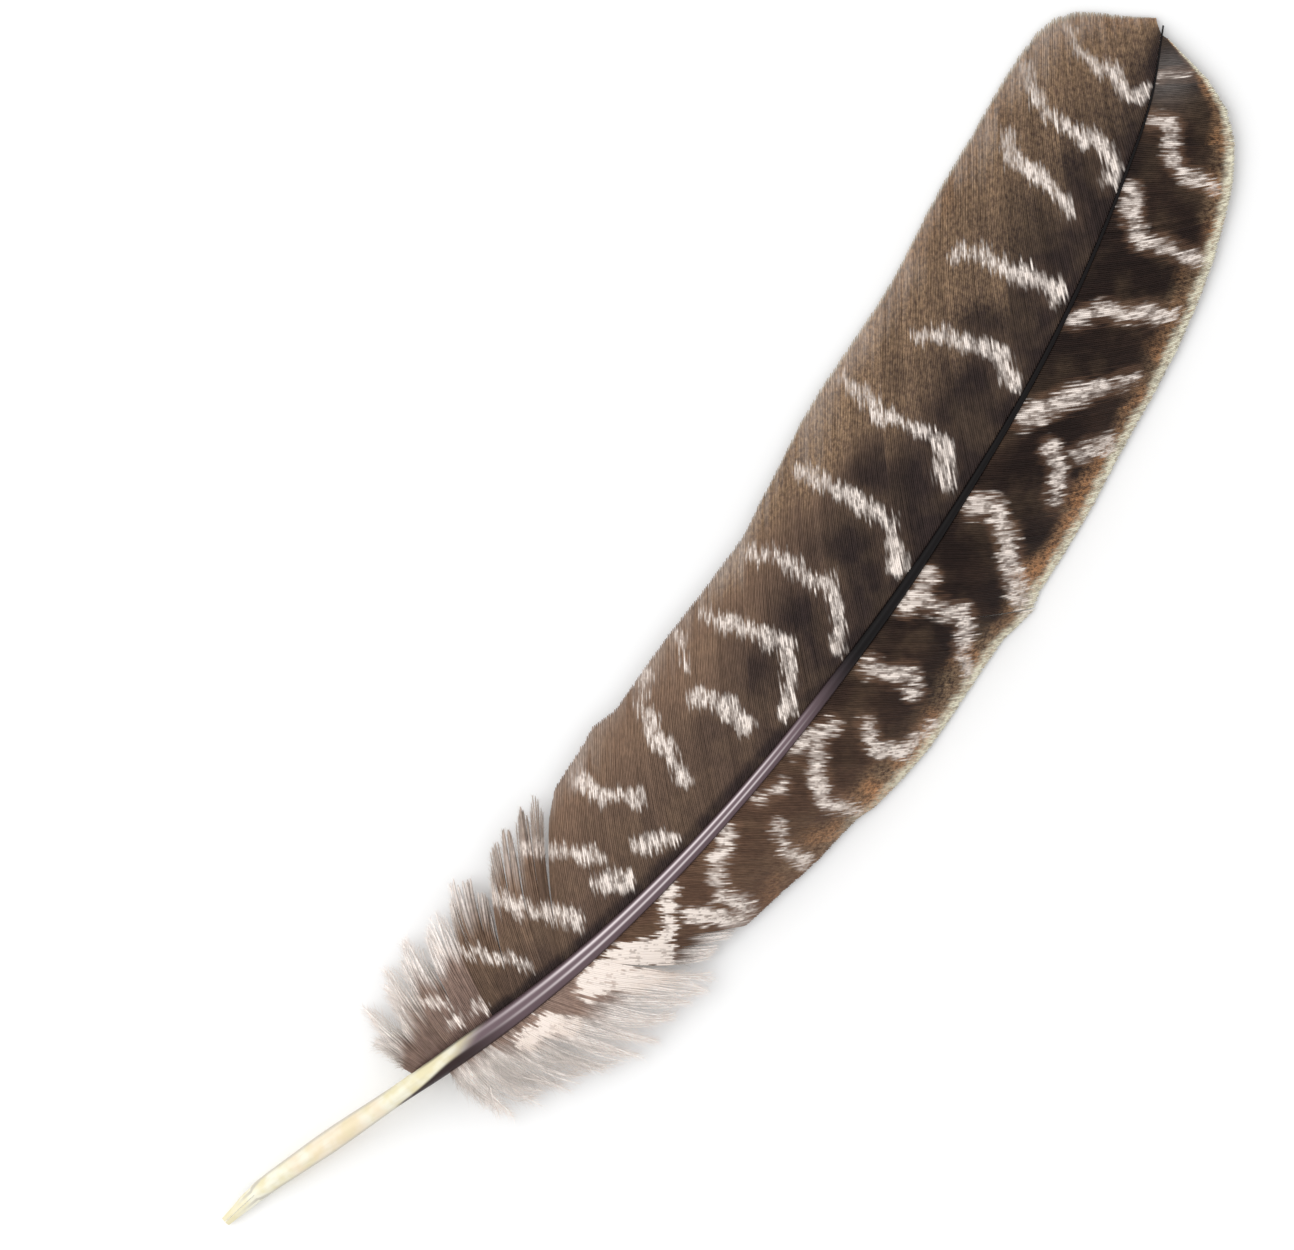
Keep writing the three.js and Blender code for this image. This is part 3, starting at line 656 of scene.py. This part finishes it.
# -------- node materials
class Nodes:
    """A material's node tree, with short calls for the nodes that the materials here use."""

    def __init__(self, name, roughness, specular=0.5):
        self.material = bpy.data.materials.new(name)
        self.material.use_nodes = True
        self.tree = self.material.node_tree
        self.shader = self.tree.nodes["Principled BSDF"]
        self.shader.inputs["Roughness"].default_value = roughness
        self.shader.inputs["Specular IOR Level"].default_value = specular
        self.place = self.tree.nodes.new("ShaderNodeTexCoord").outputs["Object"]

    def link(self, source, socket):
        """Feeds a socket from a number, a colour or another node's output."""
        if isinstance(source, (int, float)):
            socket.default_value = source
        elif isinstance(source, tuple):
            socket.default_value = (*source, 1.0) if len(socket.default_value) == 4 else source
        else:
            self.tree.links.new(source, socket)

    def value(self, attribute):
        """One of the mesh's point values."""
        node = self.tree.nodes.new("ShaderNodeAttribute")
        node.attribute_name = attribute
        return node.outputs["Fac"]

    def math(self, operation, a, b=0.0, clamp=False):
        node = self.tree.nodes.new("ShaderNodeMath")
        node.operation = operation
        node.use_clamp = clamp
        self.link(a, node.inputs[0])
        self.link(b, node.inputs[1])
        return node.outputs[0]

    def mix(self, share, a, b, blend="MIX"):
        node = self.tree.nodes.new("ShaderNodeMix")
        node.data_type = "RGBA"
        node.blend_type = blend
        self.link(share, node.inputs["Factor"])
        self.link(a, node.inputs[6])
        self.link(b, node.inputs[7])
        return node.outputs[2]

    def ramp(self, source, low, high, out_low=0.0, out_high=1.0):
        """A smooth change from out_low to out_high as the source goes from low to high."""
        node = self.tree.nodes.new("ShaderNodeMapRange")
        node.interpolation_type = "SMOOTHSTEP"
        limits = {"From Min": low, "From Max": high, "To Min": out_low, "To Max": out_high}
        for socket, number in limits.items():
            node.inputs[socket].default_value = number
        self.link(source, node.inputs["Value"])
        return node.outputs[0]

    def streaks(self, across, lengthwise, detail=2.0):
        """Noise that differs from barb to barb and runs on along each one."""
        place = self.tree.nodes.new("ShaderNodeCombineXYZ")
        self.link(self.math("MULTIPLY", self.value("lane"), across), place.inputs[0])
        self.link(self.math("MULTIPLY", self.value("along"), lengthwise), place.inputs[1])
        node = self.tree.nodes.new("ShaderNodeTexNoise")
        node.inputs["Scale"].default_value = 1.0
        node.inputs["Detail"].default_value = detail
        self.link(place.outputs[0], node.inputs["Vector"])
        return node.outputs["Fac"]

    def noise(self, scale, detail=2.0, stretch=(1, 1, 1), turn=0.0, rough=0.5):
        """Noise over the object, drawn out by stretch along axes that are turned about Z."""
        mapping = self.tree.nodes.new("ShaderNodeMapping")
        mapping.vector_type = "TEXTURE"
        mapping.inputs["Scale"].default_value = stretch
        mapping.inputs["Rotation"].default_value = (0, 0, turn)
        self.link(self.place, mapping.inputs["Vector"])
        node = self.tree.nodes.new("ShaderNodeTexNoise")
        node.inputs["Scale"].default_value = scale
        node.inputs["Detail"].default_value = detail
        node.inputs["Roughness"].default_value = rough
        self.link(mapping.outputs[0], node.inputs["Vector"])
        return node.outputs["Fac"]

    def bump(self, height, strength, distance):
        node = self.tree.nodes.new("ShaderNodeBump")
        node.inputs["Strength"].default_value = strength
        node.inputs["Distance"].default_value = distance
        self.link(height, node.inputs["Height"])
        self.link(node.outputs[0], self.shader.inputs["Normal"])

    def colour(self, source):
        """Gives the shader its colour and returns the finished material."""
        self.link(source, self.shader.inputs["Base Color"])
        return self.material


def linear(red, green, blue):
    """A colour given as it looks on a screen, 0 to 255, as the linear values that a shader takes."""
    shares = [value / 255 for value in (red, green, blue)]
    return tuple(s / 12.92 if s <= 0.04045 else ((s + 0.055) / 1.055) ** 2.4 for s in shares)


WHITE_BAR = linear(250, 238, 229)
TAN_SPECK = linear(166, 138, 108)
RUST = linear(182, 130, 88)
CREAM = linear(242, 237, 214)
DOWN_GREY = linear(247, 240, 235)
BUMP_HEIGHT = 0.0001  # metres
SATIN_SPECULAR = 0.16


def vane_material(name, brown, dark_brown, barb_turn):
    """Barbs: brown to near-black, with white bars, tan mottling, rusty and cream edges, and grey ends."""
    nodes = Nodes(name, 0.62, SATIN_SPECULAR)
    grain = nodes.streaks(0.9, 0.5, 3)
    fine = nodes.streaks(1.37, 0.42, 2)
    patch = nodes.noise(120, 3)
    speckle = nodes.noise(1150, 4, stretch=(1.4, 0.9, 1), turn=barb_turn, rough=0.75)
    base = nodes.mix(nodes.value("dark"), brown, dark_brown)
    base = nodes.mix(nodes.ramp(patch, 0.42, 0.7, 0, 0.2), base, nodes.mix(0.5, base, TAN_SPECK))
    mottled = nodes.mix(nodes.ramp(speckle, 0.34, 0.66), nodes.mix(0.55, base, dark_brown), TAN_SPECK)
    base = nodes.mix(nodes.math("MULTIPLY", nodes.value("mottle"), 0.72), base, mottled)
    rusty = nodes.math("MULTIPLY", nodes.value("rust"), nodes.ramp(speckle, 0.38, 0.6, 0.1, 0.85), clamp=True)
    base = nodes.mix(rusty, base, RUST)
    base = nodes.mix(nodes.math("MULTIPLY", nodes.value("grey"), 0.92), base, DOWN_GREY)
    pale = nodes.math("MULTIPLY", nodes.value("cream"), nodes.ramp(fine, 0.34, 0.6, 0.4, 1.0), clamp=True)
    tone = nodes.mix(nodes.value("tone"), (0.7, 0.68, 0.66), (1.2, 1.2, 1.2))
    base = nodes.mix(1.0, base, tone, "MULTIPLY")
    shading = nodes.mix(nodes.ramp(grain, 0.3, 0.7), (0.76, 0.76, 0.76), (1.2, 1.2, 1.2))
    base = nodes.mix(0.8, base, shading, "MULTIPLY")
    base = nodes.mix(pale, base, CREAM)
    broken = nodes.math("MULTIPLY", nodes.value("white"), nodes.ramp(fine, 0.36, 0.56, 0.3, 1.0), clamp=True)
    base = nodes.mix(broken, base, WHITE_BAR)
    nodes.bump(grain, 0.3, BUMP_HEIGHT)
    return nodes.colour(base)


def horn_base(nodes):
    """Clear ivory horn with cloudy patches and fine lengthwise lines."""
    clouds = nodes.noise(230, 2)
    lines = nodes.noise(900, 2, stretch=(12, 1, 1), turn=math.radians(-17))
    base = nodes.mix(nodes.ramp(clouds, 0.36, 0.64), linear(236, 233, 214), linear(226, 217, 180))
    base = nodes.mix(nodes.ramp(lines, 0.45, 0.7, 0, 0.3), base, linear(206, 196, 164))
    return base, lines


def horn_material():
    """The barrel: ivory horn, warmer over the pulp caps, painted shade at its sides, dark where the shaft
    starts.
    """
    nodes = Nodes("barrel_horn", 0.36)
    base, lines = horn_base(nodes)
    base = nodes.mix(nodes.math("MULTIPLY", nodes.value("warm"), 0.4), base, linear(234, 208, 180))
    # Painted shade along the barrel's sides.
    base = nodes.mix(nodes.math("MULTIPLY", nodes.value("rim"), 0.8), base, linear(186, 180, 168))
    base = nodes.mix(nodes.value("shade"), base, linear(62, 47, 42))
    nodes.bump(lines, 0.2, BUMP_HEIGHT)
    return nodes.colour(base)


def shaft_material():
    """The shaft: ivory where it leaves the barrel, grey-violet with painted highlight lines, then near-black.
    """
    nodes = Nodes("shaft_horn", 0.34, SATIN_SPECULAR)
    ivory, lines = horn_base(nodes)
    base = nodes.mix(nodes.value("ivory"), linear(104, 86, 92), ivory)
    # Pale lines painted on as highlights.
    base = nodes.mix(nodes.value("highlight_lines"), base, linear(228, 216, 218))
    # shade: the dark wedge on the narrow-vane side, plus a painted shadow of the wide vane on the other side.
    base = nodes.mix(nodes.value("shade"), base, linear(52, 39, 39))
    base = nodes.mix(nodes.value("black"), base, linear(13, 9, 10))
    nodes.bump(lines, 0.25, BUMP_HEIGHT)
    return nodes.colour(base)


def plain_material(name, low, high, scale, roughness):
    """A lightly spotted, grainy material for the pith and the pulp caps."""
    nodes = Nodes(name, roughness)
    spots = nodes.noise(scale, 4)
    nodes.bump(spots, 0.5, 2 * BUMP_HEIGHT)
    return nodes.colour(nodes.mix(nodes.ramp(spots, 0.35, 0.65), low, high))


# -------- barrel and shaft
def scoop_height(x):
    """Height of the underside cut above the barrel's axis at each distance from the nib."""
    reach = np.clip((SCOOP_START - x) / SCOOP_CURVE_LENGTH, 0, 1)
    curve = SCOOP_ROOF - SCOOP_CURVE_HEIGHT * np.sqrt(1 - reach ** 2)
    flat_end = SCOOP_START - SCOOP_CURVE_LENGTH
    return np.where(x < flat_end, SCOOP_ROOF + SCOOP_SLOPE * (flat_end - x), curve)


def wedge_shade(x, angle):
    """How dark the narrow-vane side of the shaft is: a wedge that starts as a point on the barrel's end."""
    edge = 0.95 - 0.85 * smoothstep(*WEDGE_WIDENS, x)
    started = smoothstep(*WEDGE_START, x + 0.8 * np.clip(angle, 0, 1.5))
    return smoothstep(edge - 0.16, edge + 0.12, angle) * started


def wall_limits(x):
    """The angles from the barrel's top at which its wall starts, beside the slit, and ends, at a cut."""
    half_width = float(half_sizes(x)[0])
    cut = float(scoop_height(x))
    widest = math.pi
    if x < SCOOP_START and cut > -half_width:
        widest = math.acos(np.clip(cut / half_width, -1, 1))
    side_limit = np.interp(x, *zip(*SHOULDER_LINE))
    if x < SHOULDER_END and side_limit < half_width:
        widest = min(widest, math.asin(side_limit / half_width))
    narrowest = math.asin(SLIT_WIDTH / 2 / half_width) if x < SLIT_LENGTH else 0.0
    return narrowest, widest


def barrel_quads(index, slit, is_open):
    """The faces of the barrel's two halves, from the points' numbers by station, half, wall side and angle.

    slit marks the stretches beside the slit, and is_open the stations where the cuts leave a gap below.
    """
    quads = []

    def sheet(a, b, c, d):
        quads.append(np.stack([a, b, c, d], -1).reshape(-1, 4))

    open_below = is_open[:-1] | is_open[1:]
    for half in (0, 1):
        outer, inner = index[:, half, 0], index[:, half, 1]
        if half == 1:
            # This half's angles run the other way round, so its faces are turned over.
            outer, inner = inner, outer
        sheet(outer[:-1, :-1], outer[:-1, 1:], outer[1:, 1:], outer[1:, :-1])
        sheet(inner[:-1, 1:], inner[:-1, :-1], inner[1:, :-1], inner[1:, 1:])
        sheet(outer[0, 1:], outer[0, :-1], inner[0, :-1], inner[0, 1:])
        sheet(outer[-1, :-1], outer[-1, 1:], inner[-1, 1:], inner[-1, :-1])
        sheet(outer[:-1, 0][slit], outer[1:, 0][slit], inner[1:, 0][slit], inner[:-1, 0][slit])
        sheet(outer[1:, -1][open_below], outer[:-1, -1][open_below], inner[:-1, -1][open_below],
              inner[1:, -1][open_below])
    return np.concatenate(quads)


def barrel_values(x, hand, angle_share):
    """The barrel's values: warm over the pulp caps, painted shade at its sides, dark where the wedge starts.
    """
    warm = sum(np.exp(-(((x - place - CAP_MIDDLE) / 1.5) ** 2)) for place in CAP_STATIONS)
    warm = warm + 0.7 * np.exp(-(((x - 30) / 7) ** 2))
    # rim: painted shade, greyer where the barrel's sides curve away from the light.
    rim = smoothstep(0.24, 0.38, angle_share) * smoothstep(0.68, 0.55, angle_share)
    rim = rim * smoothstep(3, 10, x) * smoothstep(BARREL_END, 42, x)
    angle = hand * angle_share * np.pi
    shade = wedge_shade(x, angle) * smoothstep(2.4, 1.75, np.abs(angle))
    return {"warm": np.clip(warm, 0, 1), "rim": rim, "shade": shade}


def make_barrel(material):
    """The barrel's wall, as two halves that join along the top behind the slit and below behind the scoop."""
    behind_scoop = np.linspace(SCOOP_START + 0.4, BARREL_END, 60)
    stations = np.concatenate([np.linspace(END_CUT, SCOOP_START, 90), behind_scoop])
    arcs = 28
    points = []
    is_open = []
    for x in stations:
        narrowest, widest = wall_limits(x)
        is_open.append(widest < math.pi)
        for hand in (1, -1):
            angles = hand * np.linspace(narrowest, widest, arcs)
            for inset in (0, BARREL_WALL):
                points.append(shaft_ring(x, inset, angles))
    count = len(stations)
    index = np.arange(count * 2 * 2 * arcs).reshape(count, 2, 2, arcs)
    quads = barrel_quads(index, stations[:-1] < SLIT_LENGTH, np.array(is_open))
    angle_share = np.tile(np.linspace(0, 1, arcs), count * 4)
    hand = np.tile(np.repeat([1, -1], 2 * arcs), count)
    values = barrel_values(np.repeat(stations, 4 * arcs), hand, angle_share)
    piece = new_mesh("barrel", np.concatenate(points), quads, None, values)
    weld(piece)
    set_sharp_edges(piece)
    finish_piece(piece, material, "barrel_horn", "calamus_barrel")


def weld(piece, distance=1e-6):
    """Joins points that lie on each other and turns every face outwards."""
    mesh = bmesh.new()
    mesh.from_mesh(piece.data)
    bmesh.ops.remove_doubles(mesh, verts=mesh.verts, dist=distance)
    bmesh.ops.dissolve_degenerate(mesh, dist=distance / 1000, edges=mesh.edges)
    bmesh.ops.recalc_face_normals(mesh, faces=mesh.faces)
    mesh.to_mesh(piece.data)
    mesh.free()


def set_sharp_edges(piece):
    piece.data.set_sharp_from_angle(angle=math.radians(50))


def shaft_values(x, angle):
    """The shaft's point values: ivory, painted highlight lines, dark sides, painted vane shadow, near-black.
    """
    # Painted highlights: pale lines along the top of the shaft, where its ridges catch the light.
    lean = angle + 0.16 * smoothstep(50, 64, x)
    highlight_lines = sum(np.exp(-(((lean - place) / wide) ** 2)) for place, wide in ((-0.42, 0.14), (0.3, 0.11)))
    highlight_lines = highlight_lines * smoothstep(*HIGHLIGHT_LINES_START, x) * (1 - smoothstep(*HIGHLIGHT_LINES_END, x))
    highlight_lines = highlight_lines * (0.6 + 0.4 * smoothstep(80, 95, x))
    shade = wedge_shade(x, angle) * (1 - 0.85 * smoothstep(60, 78, x) * smoothstep(1.25, 0.75, angle))
    # Painted shadow: the wide vane's shade darkens the shaft's flank on the wide-vane side.
    shade = shade + 0.75 * smoothstep(-0.75, -1.15, angle) * smoothstep(49, 56, x)
    below = smoothstep(1.75, 2.4, np.abs(angle)) * (1 - smoothstep(*PALE_UNDERSIDE_END, x))
    return {
        "ivory": np.maximum(smoothstep(*IVORY_END, x + 5 * np.clip(angle, -1.0, 1.5)), 0.75 * below),
        "highlight_lines": np.clip(highlight_lines, 0, 1),
        "shade": np.clip(shade * (1 - below), 0, 1),
        "black": smoothstep(*BLACK_START, x) * (1 - 0.85 * below),
    }


def make_shaft(material):
    """The shaft's wall, oval with a grooved underside and shallow ridges along its top."""
    sides = 72
    stations = np.concatenate([np.linspace(BARREL_END, 180, 200), np.linspace(181, LENGTH, 150)])
    angles = np.linspace(-np.pi, np.pi, sides, False)
    rings = []
    for x in stations:
        ridge = 0.014 * np.cos(angles * 7) * np.exp(-((angles / 1.1) ** 2))
        ridge = ridge * smoothstep(55, 75, x) * (1 - smoothstep(165, 185, x))
        centre = axis_point(x)
        rings.append(centre + (shaft_ring(x, 0, angles) - centre) * (1 + ridge)[:, None])
    count = len(stations)
    hub = count * sides
    last = hub - sides
    ends = []
    for a in range(0, sides, 2):
        b, c = a + 1, (a + 2) % sides
        ends.append([hub, c, b, a])
        ends.append([hub + 1, last + a, last + b, last + c])
    hubs = [rings[0].mean(0), rings[-1].mean(0)]
    values = shaft_values(np.repeat(stations, sides), np.tile(angles, count))
    at_hubs = {"ivory": [0, 0], "highlight_lines": [0, 0], "shade": [0, 0], "black": [0, 1]}
    values = {key: np.append(value, at_hubs[key]) for key, value in values.items()}
    quads = np.concatenate([grid_quads(count, sides, wrap=True), np.array(ends)])
    piece = new_mesh("shaft", np.concatenate([*rings, hubs]), quads, None, values)
    set_sharp_edges(piece)
    finish_piece(piece, material, "shaft_horn", "rachis_shell")


# -------- camera, light and stage
VIEW_CENTRE = (158.0, 7.2)  # what the camera looks at, in the feather's own frame
VIEW_WIDTH = 278.4
SHAFT_TILT = math.radians(52.07)  # the angle of the feather's X axis above the picture's horizontal
LENS = 150.0
SENSOR = 36.0
FOCUS_HEIGHT = 8.0  # VIEW_WIDTH is measured at this height, about half the arch's
FLOOR_DROP = 0.0005  # metres
FLOOR_GREY = 0.95
SKY_STRENGTH = 0.84


def make_camera():
    """A long lens straight above the feather, turned so that the feather's tip is at the upper right."""
    camera = bpy.data.objects.new("camera", bpy.data.cameras.new("camera"))
    camera.data.lens = LENS
    camera.data.sensor_width = SENSOR
    camera.data.clip_end = 10
    place = to_row((*VIEW_CENTRE, FOCUS_HEIGHT))
    place[2] += LENS / SENSOR * VIEW_WIDTH / 1000
    camera.location = place
    camera.rotation_euler = (0, 0, -SHAFT_TILT)
    bpy.context.scene.collection.objects.link(camera)
    bpy.context.scene.camera = camera


def make_floor():
    """A pale floor just under the feather."""
    mesh = bmesh.new()
    bmesh.ops.create_grid(mesh, x_segments=2, y_segments=2, size=2.0)
    floor = bpy.data.objects.new("floor", bpy.data.meshes.new("floor"))
    mesh.to_mesh(floor.data)
    mesh.free()
    floor.location.z = -FLOOR_DROP
    floor.data.materials.append(Nodes("floor", 0.9).colour((FLOOR_GREY, FLOOR_GREY, FLOOR_GREY)))
    bpy.context.scene.collection.objects.link(floor)


def make_lighting():
    """White surroundings, and one large soft lamp set high beyond the nib on the wide vane's side."""
    world = bpy.data.worlds.new("studio")
    world.use_nodes = True
    sky = world.node_tree.nodes["Background"]
    sky.inputs["Color"].default_value = (1, 1, 1, 1)
    sky.inputs["Strength"].default_value = SKY_STRENGTH
    bpy.context.scene.world = world
    lamp = bpy.data.objects.new("key", bpy.data.lights.new("key", "AREA"))
    lamp.data.energy = 7.0
    lamp.data.size = 1.2
    lamp.location = (-0.5, 0.55, 0.95)
    lamp.rotation_euler = (math.radians(-30), math.radians(-27), 0)
    bpy.context.scene.collection.objects.link(lamp)
    bpy.context.scene.view_settings.view_transform = "Standard"


# -------- assembly
make_camera()
make_floor()
make_lighting()

wide_barbs = vane_material("wide_barbs", linear(122, 98, 81), linear(46, 35, 33), math.radians(45))
narrow_barbs = vane_material("narrow_barbs", linear(104, 78, 62), linear(38, 26, 22), math.radians(-48))
down = vane_material("down", linear(158, 134, 121), linear(96, 76, 70), math.radians(-60))

make_barrel(horn_material())
make_shaft(shaft_material())
vanes = ((WIDE_VANE, 1, "wide_barbs", wide_barbs), (NARROW_VANE, -1, "narrow_barbs", narrow_barbs))
seed = 100
for vane, side, slot, material in vanes:
    for name, layout in vane.items():
        seed += 10
        if "down" in name:
            make_web(name, layout, side, down, "down", seed)
        else:
            make_web(name, layout, side, material, slot, seed)

pith = plain_material("pith", linear(238, 230, 214), linear(250, 245, 235), 900, 0.9)
membrane = plain_material("membrane", linear(222, 190, 150), linear(238, 214, 182), 700, 0.6)
inside_pieces = {"rachis_pith": pith}
for cap in range(1, len(CAP_STATIONS) + 1):
    inside_pieces[f"pulp_cap_{cap}"] = membrane
for name, material in inside_pieces.items():
    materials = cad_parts[name].data.materials
    materials.clear()
    materials.append(material)
